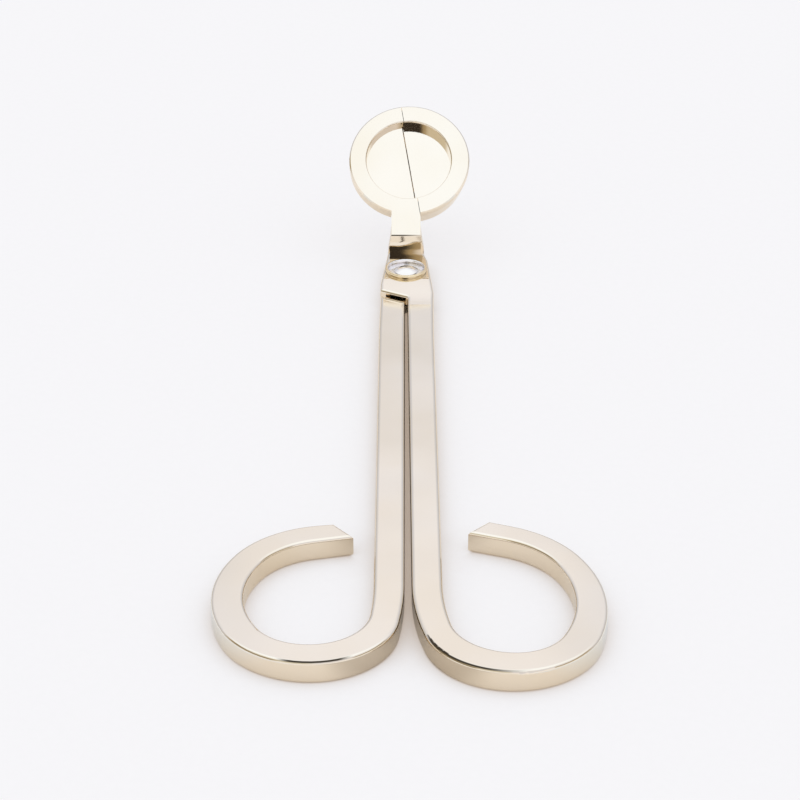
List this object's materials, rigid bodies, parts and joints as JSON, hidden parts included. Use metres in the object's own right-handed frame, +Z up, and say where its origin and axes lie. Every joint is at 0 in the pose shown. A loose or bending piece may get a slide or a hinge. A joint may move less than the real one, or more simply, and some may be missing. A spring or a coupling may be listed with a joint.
{
  "type": "wick trimmer",
  "caption": "Candle wick trimmer: crossing levers with open finger loops, a pivot, and a raised round tray head in halves that part to clip a wick.",
  "frame": {"origin": "on the pivot's axis, in the plane that the closed trimmer lies on", "axes": "+Z up along the pivot's axis, +Y along the shanks from the finger loops to the cutting head, +X to the right with the head pointing away"},
  "size_m": [0.0637, 0.1778, 0.0272],
  "materials": {
    "plated_lever": "polished, plated pale champagne gold",
    "plated_pivot": "polished, plated pale champagne gold",
    "steel_washer": "plain stamped steel"
  },
  "bodies": {
    "lower_half": {"lower_lever": "plated_lever", "pivot_barrel": "plated_pivot", "pivot_screw": "plated_pivot", "thrust_washer": "steel_washer"},
    "upper_half": {"upper_lever": "plated_lever", "pivot_collar": "plated_pivot"}
  },
  "joints": [
    {"name": "handle_pivot", "type": "hinge", "parent": "lower_half", "child": "upper_half", "pos_m": [0, 0, 0.002], "axis": [0, 0, 1], "range_deg": [0, 40]}
  ]
}
